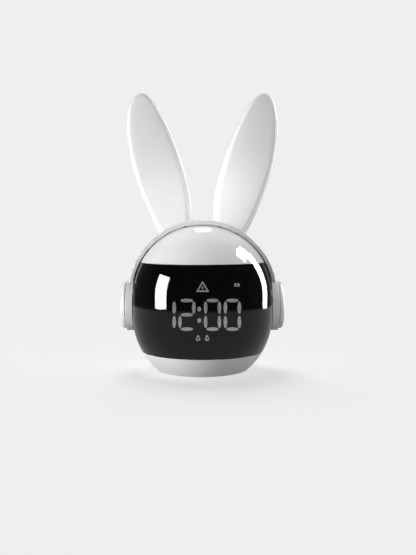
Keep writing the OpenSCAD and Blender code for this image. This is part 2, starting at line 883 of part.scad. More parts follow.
module main_board() {
  color("darkgreen") difference() {
    translate([-main_w/2, main_y, main_low_z]) cube([main_w, main_t, main_high_z - main_low_z]);
    both_sides() for (z = main_screw_z) rod_y(0, far, small_pass, rail_mid, z);
  }
}

module board_chips() {
  y0 = main_back_y + fit_gap;
  can_h = 5;
  color([0.15, 0.15, 0.15]) {
    for (c = chips) block_y(c[0], key_z - c[1], c[2], c[3], y0, y0 + c[4]);
    for (c = cans) rod_y(y0, y0 + can_h, c[2], c[0], key_z - c[1]);
    for (x = [-3:2:5]) block_y(x, key_z - 5.5, 1, 1.8, y0, y0 + 0.6);
  }
}

module usb_socket() {
  y0 = main_back_y + fit_gap;
  y1 = panel_y - 0.1;
  mouth_y = y1 - 6.5;
  color("silver") {
    difference() {
      round_slot(usb_x, panel_z, usb_w, usb_h, y0, y1);
      round_slot(usb_x, panel_z, usb_w - 2*usb_wall, usb_h - 2*usb_wall, mouth_y, far);
    }
    block_y(usb_x, panel_z, usb_w - 2.4, 0.7, mouth_y - 1, y1 - 0.8);
  }
}

module power_switch() {
  color("dimgray") difference() {
    block_y(power_x, panel_z, power_w, power_h, main_back_y + fit_gap, power_top_y);
    block_y(power_x, panel_z, slider_slot_w, slider_slot_h, knob_foot_y0, far);
    block_y(power_x, panel_z, slider_slot_w, slider_slot_h + knob_foot_grow,
      knob_foot_y0 - run_gap, knob_foot_y1 + run_gap);
  }
}

// power slider at its off end
module power_slider() {
  x = power_x - slider_travel/2;
  color("white") {
    block_y(x, panel_z, knob_w, knob_h, knob_foot_y0, knob_out_y);
    block_y(x, panel_z, knob_w, knob_h + knob_foot_grow, knob_foot_y0, knob_foot_y1);
  }
}

// ---- battery ----

module battery_cell() {
  edge = 3;
  y1 = cell_w/2 - edge;
  color("steelblue") translate([-cell_len/2, 0, cell_z]) rotate([90, 0, 90])
    linear_extrude(cell_len) {
      translate([-y1, 0]) square([2*y1, cell_t]);
      translate([-cell_w/2, edge]) square([cell_w, cell_t - 2*edge]);
      for (y = [-y1, y1], z = [edge, cell_t - edge]) translate([y, z]) circle(edge);
    }
}

// strap over the cell with a foot on each side
module battery_clamp() {
  leg_x = cell_len/2 + 0.2;
  top_z = cell_z + cell_t + fit_gap;
  foot_z = cell_z;
  foot_w = clamp_screw_x + 2.3 - leg_x;
  color("white") {
    translate([-leg_x - clamp_t, -clamp_w/2, top_z])
      cube([2*(leg_x + clamp_t), clamp_w, clamp_t]);
    both_sides() {
      translate([leg_x, -clamp_w/2, foot_z]) cube([clamp_t, clamp_w, top_z - foot_z + clamp_t]);
      difference() {
        translate([leg_x, -clamp_w/2, foot_z]) cube([foot_w, clamp_w, clamp_t]);
        rod_z(0, far, small_pass, clamp_screw_x, 0);
      }
    }
  }
}

module battery_lead() {
  y0 = cell_w/2 + 2*fit_gap;
  mid_z = cell_z + cell_t/2;
  top_z = cell_z + cell_t + 6;
  color("firebrick") for (x = [cell_lead_x - wire_pitch/2, cell_lead_x + wire_pitch/2])
    lead([[x, y0, mid_z], [x, y0 + wire_straight, mid_z], [x, (y0 + main_y)/2, (mid_z + top_z)/2],
      [x, main_y - wire_straight, top_z], [x, main_y - 2*fit_gap, top_z]]);
}

module board_screws() {
  color("silver") {
    both_sides() {
      for (z = main_screw_z) translate([rail_mid, main_back_y + fit_gap, z]) rotate([90, 0, 0])
        screw(small, small_len);
      for (y = [-plate_screw_y, plate_screw_y])
        translate([pillar_x - plate_t - 2*fit_gap, y, cup_z]) rotate([0, 90, 0])
          screw(small, small_len);
      translate([clamp_screw_x, 0, cell_z + clamp_t + fit_gap]) rotate([180, 0, 0])
        screw(small, small_len);
    }
    lamp_screw_spots() translate([0, 0, lamp_z + lamp_t + fit_gap]) rotate([180, 0, 0])
      screw(small, small_len);
  }
}

// ---- lamp ----

module dome_diffuser() {
  color("white") difference() {
    union() {
      rotate_extrude() shell_profile(body_r, shell_r, dome_low_z, high_z + body_r + 1, [dome_low_z]);
      intersection() {
        dome_screw_spots() rod_z(high_top_z + fit_gap, far + 20, dome_boss_r, 0, 0);
        head_solid(body_r - 1);
      }
    }
    dome_screw_spots() rod_z(high_top_z, high_deck_z + dome_screw_len + 1, big_pilot, 0, 0);
    peg_spots() {
      rod_z(shell_r - 4, shell_r - fit_gap, small[0] + head_gap, 0, 0);
      rod_z(shell_r - 4, far, small_pass, 0, 0);
    }
  }
}

module dome_screws() {
  color("silver") dome_screw_spots()
    translate([0, 0, high_deck_z - fit_gap]) screw(big, dome_screw_len);
}

module night_light_board() {
  color("white") difference() {
    rod_z(lamp_z, lamp_z + lamp_t, lamp_r, 0, 0);
    lamp_screw_spots() rod_z(lamp_z - 1, lamp_z + lamp_t + 1, small_pass, 0, 0);
  }
}

module night_light_leds() {
  z0 = lamp_z + lamp_t + fit_gap;
  color("khaki") for (a = [0:60:300]) rotate([0, 0, a])
    block_z(led_ring_r, 0, led, led, z0, z0 + led_h);
}

module night_light_lead() {
  z0 = high_deck_z - 5;
  color("firebrick") for (x = [lamp_lead_x - 0.8, lamp_lead_x + 0.8])
    lead([[x, main_y - 2*fit_gap, z0], [x, main_y - wire_straight, z0],
      [x, lamp_lead_y, z0 + 3], [x, lamp_lead_y, lamp_z - wire_straight],
      [x, lamp_lead_y, lamp_z - 2*fit_gap]]);
}

// spring that touches the dome from below and senses a tap on it
module touch_spring() {
  turn_steps = 16;
  z0 = lamp_z + lamp_t + fit_gap + spring_wire;
  z1 = high_z + sqrt(shell_r*shell_r - pow(spring_r + spring_wire, 2)) - fit_gap - spring_wire;
  steps = turn_steps*spring_turns;
  color("goldenrod") wire([for (i = [0:steps]) let (a = 360*i/turn_steps)
    [spring_r*cos(a), spring_r*sin(a), z0 + (z1 - z0)*i/steps]], spring_wire, [0, 0, 1], 6);
}

// ---- headphones ----

// ring of an arc's cross-section, turned about the Y axis through the head
module headband() {
  edge = 0.7;
  half = band_depth/2;
  color("whitesmoke") difference() {
    translate([0, 0, high_z]) rotate([90, 0, 0]) rotate_extrude(angle = 180) {
      translate([band_in_r, -half]) square([band_t - edge, band_depth]);
      translate([band_in_r, edge - half]) square([band_t, band_depth - 2*edge]);
      for (y = [edge - half, half - edge]) translate([band_out_r - edge, y]) circle(edge);
    }
    rod_x(-far, far, cup_r + fit_gap, 0, cup_z);
    peg_spots() rod_z(body_r - 1, far, peg_r + 0.1, 0, 0);
  }
}

// disc about the X axis with a round outer edge, drawn from x0 to x1
module cup_disc(x0, x1, r, edge) {
  translate([x0, 0, cup_z]) rotate([0, 90, 0]) rotate_extrude() intersection() {
    square([r, x1 - x0]);
    union() {
      square([r, x1 - x0 - edge]);
      square([r - edge, x1 - x0]);
      translate([r - edge, x1 - x0 - edge]) circle(edge);
    }
  }
}

module cup_housing(side) {
  color("gainsboro") on_side(side) difference() {
    union() {
      cup_disc(cup_back_x, cup_x, cup_r, cup_edge);
      for (spot = cup_screw_spots)
        rod_x(cup_boss_x, cup_back_x + cup_edge, cup_boss_r, spot[0], spot[1]);
    }
    head_solid(body_r + fit_gap);
    rod_x(cup_floor_x, far, cap_r + run_gap, 0, cup_z);
    rod_x(pillar_x, far, stem_r + run_gap, 0, cup_z);
    for (spot = cup_screw_spots)
      rod_x(pillar_x, cup_floor_x - cup_floor_t, big_pilot, spot[0], spot[1]);
  }
}

module cup_cap(side) {
  face_x = cup_floor_x + cap_travel + cap_gap;
  color("white") on_side(side) {
    rod_x(face_x, cup_x - fit_gap, cap_r, 0, cup_z);
    rod_x(face_x, cup_x + cap_line_w + cup_edge, cap_r - cap_line_t, 0, cup_z);
    cup_disc(cup_x + cap_line_w, cap_x, cap_r, cap_edge);
    rod_x(stem_end_x, face_x + 1, stem_r, 0, cup_z);
    rod_x(stem_end_x, stem_end_x + barb_t, barb_r, 0, cup_z);
  }
}

module cup_screws() {
  color("silver") both_sides() for (spot = cup_screw_spots)
    translate([cup_screw_x - fit_gap, spot[0], spot[1]]) rotate([0, 90, 0])
      screw(big, cup_floor_x - cup_floor_t - 2*fit_gap - cup_screw_x);
}

module cup_switch(side) {
  plate_x = pillar_x - fit_gap - plate_t;
  color("darkgreen") on_side(side) difference() {
    union() {
      translate([plate_x, -plate_y, cup_z - plate_z]) cube([plate_t, 2*plate_y, 2*plate_z]);
      translate([plate_x + 0.5, -tact/2, cup_z - tact/2])
        cube([switch_top_x - plate_x - 0.5, tact, tact]);
    }
    for (y = [-plate_screw_y, plate_screw_y]) rod_x(0, far, small_pass, y, cup_z);
    rod_x(switch_top_x - 1.4 - cap_travel - run_gap, far, plunger_r + run_gap, 0, cup_z);
  }
}

module switch_plunger(side) {
  color("black") on_side(side)
    rod_x(switch_top_x - 1.4, stem_end_x - fit_gap, plunger_r, 0, cup_z);
}

module switch_leads() {
  x0 = pillar_x - plate_t - 3*fit_gap;
  x1 = main_w/2 - 1.2;
  y0 = 2.5;
  color("firebrick") both_sides() for (z = [cup_z - wire_pitch, cup_z + wire_pitch])
    lead([[x0, y0, z], [x0 - wire_straight, y0, z], [x0 - 3.3, 2*y0, z],
      [(x0 + x1)/2, main_y/2, z], [x1, main_y - 2*wire_straight, z],
      [x1, main_y - 2*fit_gap, z]], [0, 0, 1]);
}

// ---- ears ----

// half width of one side of an ear at height u above its foot
function ear_side(u, w, top, drop) = u < top ? w - drop*pow((top - u)/top, 2)
  : w*sqrt(max(0, 1 - pow((u - top)/(ear_len - top), 2)));
function ear_w(u, side) = side > 0
  ? ear_side(u, ear_outer_w, ear_outer_top, ear_outer_drop)
  : ear_side(u, ear_inner_w, ear_inner_top, ear_inner_drop);

// width of the slanted rim at height u
function rim_w(u, side) = let (foot_w = side > 0 ? ear_outer_rim : ear_inner_rim)
  foot_w + (ear_tip_rim - foot_w)*max(0, min(1, u/ear_len));

// half width of the face at height u, with less rim where the ear is narrow
function face_w(u, side) = let (w = ear_w(u, side)) max(w - rim_w(u, side), 0.35*w);

// half thickness at height u: flared at the foot and rounded at the tip
function ear_half_t(u) =
  (ear_t/2 + ear_flare*exp(-max(0, u)/ear_flare_h))
  * (u < ear_len - ear_tip_h ? 1 : sqrt(1 - 0.96*pow((u - ear_len + ear_tip_h)/ear_tip_h, 2)));

// how far the front bulges at height u
function ear_bulge(u) = 0.05*min(ear_w(u, 1), ear_w(u, -1));

function reversed(list) = [for (i = [len(list) - 1:-1:0]) list[i]];

// heights of the sections, closer together towards the tip
function ear_u(i, u0, u1) = u0 + (u1 - u0)*(1 - pow(1 - i/ear_rows, 1.8));

// outline of one side of an ear, from the face to the back
function side_points(u, side) = let (
    w = ear_w(u, side), f = face_w(u, side), r = w - f,
    t = ear_half_t(u), b = ear_bulge(u), k = min(1, w/6)
  ) [
    [side*0.36*f, -t - 0.87*b], [side*0.72*f, -t - 0.48*b], [side*(f - 0.5*k), -t - 0.06*b],
    [side*(f - 0.1*k), -t + 0.14*k], [side*(f + 0.1*k), -t + 0.5*k],
    [side*(f + 0.5*r), -0.6*t], [side*(f + 0.84*r), -0.26*t], [side*w, 0.04*t],
    [side*(w - 0.1*r), 0.36*t], [side*(w - 0.4*r), 0.66*t], [side*(w - 0.9*r), 0.86*t],
    [side*0.62*f, t], [side*0.3*f, t + 0.6*b]
  ];

function ear_section(u) = let (t = ear_half_t(u), b = ear_bulge(u))
  concat([[0, -t - b]], side_points(u, 1), [[0, t + 0.8*b]], reversed(side_points(u, -1)));

// half width of the face panel at height u, less a gap
function panel_w_at(u, side, gap) = max(face_w(u, side) - ear_lip*min(1, ear_w(u, side)/6) - gap, 0.1);

function panel_points(u, side, gap) = let (
    p = panel_w_at(u, side, gap), t = ear_half_t(u), b = ear_bulge(u), f = face_w(u, side)
  ) [
    [side*0.36*p, -t - b*(1 - pow(0.36*p/f, 2))], [side*0.72*p, -t - b*(1 - pow(0.72*p/f, 2))],
    [side*(p - min(0.2, 0.3*p)), -t - b*(1 - pow(p/f, 2))],
    [side*p, -t + 0.2], [side*p, -t + ear_face_t]
  ];

function panel_section(u, gap) = concat([[0, -ear_half_t(u) - ear_bulge(u)]],
  panel_points(u, 1, gap), reversed(panel_points(u, -1, gap)));

// straight-sided cut from depth y out through the front
function cut_section(u, gap, y) = let (
    a = panel_w_at(u, 1, gap), b = panel_w_at(u, -1, gap)
  ) [[-b, -20], [a, -20], [a, y], [-b, y]];

// solid through sections, each given as its height and its outline
module loft(heights, sections) {
  n = len(sections[0]);
  rows = len(heights);
  points = [for (i = [0:rows - 1]) for (p = sections[i]) [p[0], p[1], heights[i]]];
  sides = [for (i = [0:rows - 2]) for (j = [0:n - 1]) for (half = [0, 1])
    let (a = i*n + j, b = i*n + (j + 1) % n)
    half == 0 ? [a, a + n, b + n] : [a, b + n, b]];
  foot = [for (j = [0:n - 1]) j];
  top = [for (j = [n - 1:-1:0]) (rows - 1)*n + j];
  polyhedron(points, concat([foot], sides, [top]));
}

module place_ear() {
  translate([ear_x, 0, ear_foot_z]) rotate([0, ear_lean, 0]) children();
}

// everything above a curve at distance r from the head's upper middle
module above_band(r) {
  difference() {
    children();
    rod_y(-far, far, r, 0, high_z);
  }
}

module ear_shell(side) {
  rows = [for (i = [0:ear_rows]) ear_u(i, ear_start, ear_len - 0.1)];
  panel_rows = [for (i = [0:ear_rows]) ear_u(i, ear_start, panel_end + 0.1)];
  cavity_rows = [for (i = [0:ear_rows]) ear_u(i, ear_start, cavity_end)];
  color("white") on_side(side) difference() {
    union() {
      above_band(band_out_r + fit_gap) place_ear()
        loft(rows, [for (u = rows) ear_section(u)]);
      difference() {
        ear_peg_spots() rod_z(body_r - 2, peg_top_r, peg_r, 0, 0);
        translate([0, 0, high_z]) sphere(body_r + fit_gap);
      }
    }
    above_band(band_out_r + ear_shelf) place_ear() loft(panel_rows,
      [for (u = panel_rows) cut_section(u, -0.12, -ear_half_t(u) + ear_face_t + fit_gap)]);
    above_band(peg_top_r + 3) place_ear() loft(cavity_rows,
      [for (u = cavity_rows) cut_section(u, ear_ledge, ear_half_t(u) - ear_wall)]);
    ear_peg_spots() rod_z(body_r - 2, peg_top_r + 0.5, small_pilot, 0, 0);
  }
}

module ear_peg_spots() {
  translate([0, 0, high_z]) rotate([0, ear_turn, 0])
    for (dx = [-peg_dx, peg_dx]) translate([dx, 0, 0]) children();
}

module ear_face(side) {
  rows = [for (i = [0:ear_rows]) ear_u(i, ear_start, panel_end)];
  color("white") on_side(side) above_band(band_out_r + ear_shelf + 0.1) place_ear()
    loft(rows, [for (u = rows) panel_section(u, 0)]);
}

module ear_screws() {
  color("silver") peg_spots() translate([0, 0, shell_r - 2*fit_gap]) screw(small, ear_screw_len);
}

base_shell();
foot_ring();
base_screws();
core_frame();
front_lens();
display_mask();
rear_shell();
rear_screws();
dome_diffuser();
dome_screws();
headband();
ear_screws();
ear_shell(-1);  // left_ear_shell
ear_face(-1);  // left_ear_face
ear_shell(1);  // right_ear_shell
ear_face(1);  // right_ear_face
cup_housing(-1);  // left_cup_housing
cup_cap(-1);  // left_cup_cap
cup_housing(1);  // right_cup_housing
cup_cap(1);  // right_cup_cap
cup_screws();
cup_switch(-1);  // left_cup_switch
switch_plunger(-1);  // left_switch_plunger
cup_switch(1);  // right_cup_switch
switch_plunger(1);  // right_switch_plunger
switch_leads();
display_board();
display_reflector();
display_segments_lit();
display_segments_off();
display_icons();
display_screws();
display_ribbon();
main_board();
board_chips();
board_screws();
key_switches();
key(0);  // set_key
key(1);  // up_key
key(2);  // down_key
key(3);  // light_key
key_plunger(0);  // set_plunger
key_plunger(1);  // up_plunger
key_plunger(2);  // down_plunger
key_plunger(3);  // light_plunger
usb_socket();
power_switch();
power_slider();
battery_cell();
battery_clamp();
battery_lead();
speaker();
speaker_cone();
speaker_lead();
night_light_board();
night_light_leds();
night_light_lead();
touch_spring();
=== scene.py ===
import math

import bmesh
import bpy
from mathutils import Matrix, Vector
from mathutils.geometry import tessellate_polygon


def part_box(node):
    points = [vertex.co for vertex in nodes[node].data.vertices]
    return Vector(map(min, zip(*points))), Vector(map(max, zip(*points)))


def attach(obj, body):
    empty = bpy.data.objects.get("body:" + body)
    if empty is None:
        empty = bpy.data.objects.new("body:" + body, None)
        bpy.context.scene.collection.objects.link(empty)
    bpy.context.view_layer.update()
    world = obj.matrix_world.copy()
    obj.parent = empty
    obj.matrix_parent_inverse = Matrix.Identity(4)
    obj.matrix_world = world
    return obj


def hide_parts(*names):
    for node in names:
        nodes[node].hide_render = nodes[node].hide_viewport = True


# Round desk alarm clock with a smoked front, a lamp dome, two long ears and a headband with cups.

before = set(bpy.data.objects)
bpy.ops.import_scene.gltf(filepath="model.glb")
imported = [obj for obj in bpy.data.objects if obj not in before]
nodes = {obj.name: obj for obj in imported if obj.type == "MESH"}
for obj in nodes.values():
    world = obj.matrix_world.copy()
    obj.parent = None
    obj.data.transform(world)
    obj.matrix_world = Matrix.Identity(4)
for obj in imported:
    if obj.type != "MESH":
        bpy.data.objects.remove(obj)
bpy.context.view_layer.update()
scene = bpy.context.scene

# ---- camera ----

EYE = Vector((0.0, -0.458, 0.0834))
SENSOR_MM = 36
PICTURE_H = 555           # height of the picture in pixels
FOCAL_PX = 769.7          # focal length in the same pixels
RIGHT_PX = 5.5            # the picture's middle lies this far right of the head's middle
DOWN_PX = 24              # drop of the view by the camera's tilt, and as much again by its shift


def make_camera():
    data = bpy.data.cameras.new("camera")
    data.sensor_width = SENSOR_MM
    data.lens = SENSOR_MM*FOCAL_PX/PICTURE_H
    data.shift_y = -DOWN_PX/PICTURE_H
    camera = bpy.data.objects.new("camera", data)
    scene.collection.objects.link(camera)
    reach = -EYE.y/FOCAL_PX
    aim = Vector((RIGHT_PX*reach, 0, EYE.z - DOWN_PX*reach))
    camera.location = EYE
    camera.rotation_euler = (aim - EYE).to_track_quat("-Z", "Y").to_euler()
    scene.camera = camera


make_camera()

# ---- node graphs ----

NOISE_LOW = 0.3           # most of a noise's values lie between these two
NOISE_HIGH = 0.7
NOISE_ROUGHNESS = 0.55


class Graph:
    """A material's nodes, with short calls for the ones used here."""

    def __init__(self, name):
        self.material = bpy.data.materials.new(name)
        self.material.use_nodes = True
        self.tree = self.material.node_tree
        self.shader = self.tree.nodes["Principled BSDF"]
        self.output = self.tree.nodes["Material Output"]

    def add(self, kind, **settings):
        node = self.tree.nodes.new(kind)
        for key, value in settings.items():
            setattr(node, key, value)
        return node

    def link(self, source, target):
        self.tree.links.new(source, target)

    def set(self, **values):
        """Set the shader's sockets; a space in a socket's name is written as _."""
        for key, value in values.items():
            socket = self.shader.inputs[key.replace("_", " ")]
            socket.default_value = (*value, 1) if isinstance(value, tuple) else value

    def position(self):
        return self.add("ShaderNodeTexCoord").outputs["Object"]

    def noise(self, scale, detail):
        node = self.add("ShaderNodeTexNoise")
        node.inputs["Scale"].default_value = scale
        node.inputs["Detail"].default_value = detail
        node.inputs["Roughness"].default_value = NOISE_ROUGHNESS
        self.link(self.position(), node.inputs["Vector"])
        return node.outputs["Fac"]

    def remap(self, value, low, high, out_low, out_high):
        node = self.add("ShaderNodeMapRange")
        for key, number in (("From Min", low), ("From Max", high),
                            ("To Min", out_low), ("To Max", out_high)):
            node.inputs[key].default_value = number
        self.link(value, node.inputs["Value"])
        return node.outputs["Result"]

    def ramp(self, value, low, low_color, high, high_color):
        node = self.add("ShaderNodeValToRGB")
        for element, place, color in zip(node.color_ramp.elements, (low, high),
                                         (low_color, high_color)):
            element.position = place
            element.color = (*color, 1)
        self.link(value, node.inputs["Fac"])
        return node.outputs["Color"]

    def vary(self, noise, low, high):
        """Number that follows a noise from low to high."""
        return self.remap(noise, NOISE_LOW, NOISE_HIGH, low, high)

    def tint(self, noise, low, high):
        """Colour that follows a noise from low to high."""
        return self.ramp(noise, NOISE_LOW, low, NOISE_HIGH, high)

    def bump(self, height, strength, distance):
        node = self.add("ShaderNodeBump")
        node.inputs["Strength"].default_value = strength
        node.inputs["Distance"].default_value = distance
        self.link(height, node.inputs["Height"])
        self.link(node.outputs["Normal"], self.shader.inputs["Normal"])


# ---- materials ----

GLOSS_SPREAD = 0.08       # share by which the roughness varies over a surface


def plastic(name, color, rough, spread=0.02, grain=0.0, grain_size=2500, mottle=300):
    """Moulded plastic with an optional fine grain; spread is the share that its tone varies."""
    g = Graph(name)
    low = tuple(c*(1 - spread) for c in color)
    high = tuple(min(1.0, c*(1 + spread)) for c in color)
    cloud = g.noise(mottle, detail=4)
    g.link(g.tint(cloud, low, high), g.shader.inputs["Base Color"])
    g.link(g.vary(cloud, rough*(1 - GLOSS_SPREAD), rough*(1 + GLOSS_SPREAD)),
           g.shader.inputs["Roughness"])
    g.set(IOR=1.5)
    if grain:
        g.bump(g.noise(grain_size, detail=2), strength=grain, distance=0.0001)
    return g


def metal(name, color, rough):
    """Turned or stamped metal with a fine, uneven grain."""
    g = plastic(name, color, rough, spread=0.04, mottle=700)
    g.set(Metallic=1.0)
    g.bump(g.noise(4000, detail=1), strength=0.08, distance=0.00005)
    return g


white_shell = plastic("white_shell", (0.86, 0.86, 0.865), 0.42, 0.012, grain=0.04)
ear_face = plastic("ear_face", (0.84, 0.84, 0.85), 0.5, 0.012, grain=0.05)
headband_white = plastic("headband_white", (0.64, 0.64, 0.645), 0.4, 0.012, grain=0.04)
housing_white = plastic("housing_white", (0.82, 0.82, 0.83), 0.38, 0.012, grain=0.04)
cap_white = plastic("cap_white", (0.87, 0.87, 0.875), 0.34, 0.01, grain=0.03)
key_white = plastic("key_white", (0.80, 0.80, 0.81), 0.4, 0.012, grain=0.04)
lamp_dome = plastic("lamp_dome", (0.82, 0.825, 0.83), 0.07, 0.008)
black_liner = plastic("black_liner", (0.012, 0.012, 0.013), 0.6, 0.2, grain=0.06)
segment_off = plastic("segment_off", (0.02, 0.02, 0.021), 0.5, 0.2)
foot_rubber = plastic("foot_rubber", (0.3, 0.3, 0.3), 0.75, 0.08, grain=0.2, grain_size=1800)
frame_plastic = plastic("frame_plastic", (0.7, 0.7, 0.69), 0.5, 0.02, grain=0.08)
chip_black = plastic("chip_black", (0.03, 0.03, 0.032), 0.55, 0.15, grain=0.1)
plunger_black = plastic("plunger_black", (0.02, 0.02, 0.02), 0.4, 0.15)
wire_red = plastic("wire_red", (0.5, 0.03, 0.025), 0.35, 0.06)
ribbon_film = plastic("ribbon_film", (0.45, 0.22, 0.06), 0.3, 0.06)
speaker_frame = plastic("speaker_frame", (0.09, 0.09, 0.095), 0.4, 0.1)
speaker_cone = plastic("speaker_cone", (0.035, 0.035, 0.037), 0.8, 0.2, grain=0.3)
lamp_board = plastic("lamp_board", (0.8, 0.8, 0.77), 0.35, 0.02)
lamp_led = plastic("lamp_led", (0.8, 0.62, 0.16), 0.3, 0.1)
cell_wrap = plastic("cell_wrap", (0.16, 0.24, 0.38), 0.28, 0.05)
circuit_board = plastic("circuit_board", (0.015, 0.12, 0.05), 0.35, 0.12, mottle=900)

screw_steel = metal("screw_steel", (0.55, 0.55, 0.56), 0.3)
socket_steel = metal("socket_steel", (0.62, 0.62, 0.63), 0.25)
spring_brass = metal("spring_brass", (0.68, 0.47, 0.18), 0.25)


def smoked_lens_graph():
    """Smoke-black acrylic: clear enough for the display to glow through."""
    g = Graph("smoked_lens")
    cloud = g.noise(60, detail=2)
    g.link(g.vary(cloud, 0.015, 0.022), g.shader.inputs["Roughness"])
    g.link(g.tint(cloud, (0.019, 0.019, 0.0195), (0.021, 0.021, 0.0215)),
           g.shader.inputs["Base Color"])
    g.set(IOR=1.49, Transmission_Weight=1.0)
    return g


def lit_segment_graph():
    """Lit diffuser, bright enough for the lens, and brighter towards the foot of each digit."""
    g = Graph("lit_segment")
    spot = g.noise(220, detail=1)
    low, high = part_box("display_segments_lit")
    split = g.add("ShaderNodeSeparateXYZ")
    g.link(g.position(), split.inputs[0])
    glow = g.add("ShaderNodeMath", operation="MULTIPLY")
    g.link(g.remap(split.outputs["Z"], low[2], high[2], 1.0, 0.75), glow.inputs[0])
    g.link(g.vary(spot, 0.9, 1.05), glow.inputs[1])
    g.link(g.ramp(glow.outputs[0], 0.0, (0, 0, 0), 1.0, (0.99, 1.0, 1.0)),
           g.shader.inputs["Emission Color"])
    g.link(g.tint(spot, (0.55, 0.57, 0.58), (0.6, 0.62, 0.63)), g.shader.inputs["Base Color"])
    g.set(Emission_Strength=13.0, Roughness=0.5)
    return g


smoked_lens = smoked_lens_graph()
segment_lit = lit_segment_graph()

# nodes that each material covers
FINISH = {
    white_shell: ["base_shell", "rear_shell"],
    ear_face: ["left_ear_face", "right_ear_face", "left_ear_shell", "right_ear_shell"],
    headband_white: ["headband"],
    housing_white: ["left_cup_housing", "right_cup_housing"],
    cap_white: ["left_cup_cap", "right_cup_cap"],
    key_white: ["set_key", "up_key", "down_key", "light_key", "power_slider"],
    lamp_dome: ["dome_diffuser"],
    smoked_lens: ["front_lens"],
    black_liner: ["display_mask", "display_reflector"],
    segment_lit: ["display_segments_lit", "display_icons"],
    segment_off: ["display_segments_off"],
    foot_rubber: ["foot_ring"],
    frame_plastic: ["core_frame", "battery_clamp"],
    screw_steel: ["base_screws", "rear_screws", "dome_screws", "ear_screws", "cup_screws",
                  "display_screws", "board_screws"],
    circuit_board: ["display_board", "main_board", "left_cup_switch", "right_cup_switch"],
    chip_black: ["board_chips", "key_switches", "power_switch"],
    plunger_black: ["left_switch_plunger", "right_switch_plunger", "set_plunger", "up_plunger",
                    "down_plunger", "light_plunger"],
    socket_steel: ["usb_socket"],
    cell_wrap: ["battery_cell"],
    wire_red: ["switch_leads", "battery_lead", "speaker_lead", "night_light_lead"],
    ribbon_film: ["display_ribbon"],
    speaker_frame: ["speaker"],
    speaker_cone: ["speaker_cone"],
    lamp_board: ["night_light_board"],
    lamp_led: ["night_light_leds"],
    spring_brass: ["touch_spring"],
}
for graph, names in FINISH.items():
    for name in names:
        nodes[name].data.materials.clear()
        nodes[name].data.materials.append(graph.material)


def dress(piece, graph, slot, body, *replaced):
    """Give a new piece its material and body, in place of the replaced nodes; slot is not used.
    """
    piece.data.materials.append(graph.material)
    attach(piece, body)
    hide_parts(*replaced)


# ---- ears, with finer surfaces than the solids; lengths in millimetres ----

MM = 0.001
BODY_R = 41.5             # radius of the head
FOOT_CUT = 9.2            # height that is cut off the head's lower end
BELT_H = 12.5             # height of the straight belt between the head's round ends
BAND_GAP = 0.3
BAND_T = 2.3              # thickness of the headband
HIGH_Z = BODY_R - FOOT_CUT + BELT_H      # middle of the head's upper round end
BAND_OUT_R = BODY_R + BAND_GAP + BAND_T

EAR_LEN = 81.7
EAR_LEAN = 14.6           # degrees away from upright
EAR_X = 16.4              # distance of the foot from the head's middle
EAR_OUTER_W = 15.3        # widest half width of the outer and the inner side
EAR_INNER_W = 14.0
EAR_OUTER_TOP = 0.5*EAR_LEN              # height at which each side is widest
EAR_INNER_TOP = 0.28*EAR_LEN
EAR_OUTER_DROP = 4.8      # how much narrower each side is at the foot
EAR_INNER_DROP = 3.2
EAR_OUTER_RIM = 2.6       # width of the slanted rim round the face, at the foot
EAR_INNER_RIM = 3.3
EAR_TIP_RIM = 1.3
FACE_SHARE = 0.35         # least share of the half width that the face takes
EAR_T = 5.2               # thickness along most of the ear
EAR_FLARE = 2.9           # extra thickness at the foot, each side
EAR_FLARE_H = 16          # height at which the flare is down to about a third
EAR_TIP_H = 10            # length of the tip over which the ear thins out
EAR_TIP_THIN = 0.96       # 1 would bring the tip to a sharp edge
BULGE_SHARE = 0.05        # bulge of the front, as a share of the half width
NARROW_W = 6              # the edges get smaller where a side is narrower than this

EAR_SINK = 0.8            # how far the ear's foot lies below the headband's outside
EAR_SEAT = 0.02           # gap between the ear and the headband
EAR_SHELF = 1.0           # part of the shell between the headband and the face
EAR_FOOT_R = BAND_OUT_R - EAR_SINK
EAR_FOOT_Z = HIGH_Z + math.sqrt(EAR_FOOT_R**2 - EAR_X**2)

EAR_LIP = 0.45            # lip of the rim around the face panel
EAR_FACE_T = 1.5          # thickness of the face panel
RECESS_GAP = 0.05         # clearance round the panel and behind it
PANEL_END = EAR_LEN - 1.2
PANEL_ROUND = 2.5         # length of the panel's round end
PANEL_EDGE = 0.18         # radius of the panel's front edge
TIP_GAP = 0.02            # the last row of points lies this far below the tip

EAR_ROWS = 90
TIP_CROWDING = 1.8        # 1 spaces the rows evenly, more draws them towards the tip
LINE_STEPS = 4            # points for each stretch of a smooth line
FOOT_RANGE = (-9.0, 25.0)                # heights between which the foot is searched
FOOT_HALVINGS = 30
MERGE = 1e-6              # metres between points that become one
DEGENERATE = 1e-7         # metres of an edge that is taken out
SHARP_ANGLE = 38          # degrees


def ear_side(u, side):
    """Half width at height u above the foot of the outer side, 1, or the inner side, -1."""
    width, top, drop = ((EAR_OUTER_W, EAR_OUTER_TOP, EAR_OUTER_DROP) if side > 0
                        else (EAR_INNER_W, EAR_INNER_TOP, EAR_INNER_DROP))
    if u < top:
        return width - drop*((top - u)/top)**2
    return width*math.sqrt(max(0.0, 1 - ((u - top)/(EAR_LEN - top))**2))


def rim_width(u, side):
    """Width of the slanted rim at height u."""
    foot = EAR_OUTER_RIM if side > 0 else EAR_INNER_RIM
    return foot + (EAR_TIP_RIM - foot)*max(0.0, min(1.0, u/EAR_LEN))


def face_width(u, side):
    """Half width of the face at height u, with less rim where the ear is narrow."""
    width = ear_side(u, side)
    return max(width - rim_width(u, side), FACE_SHARE*width)


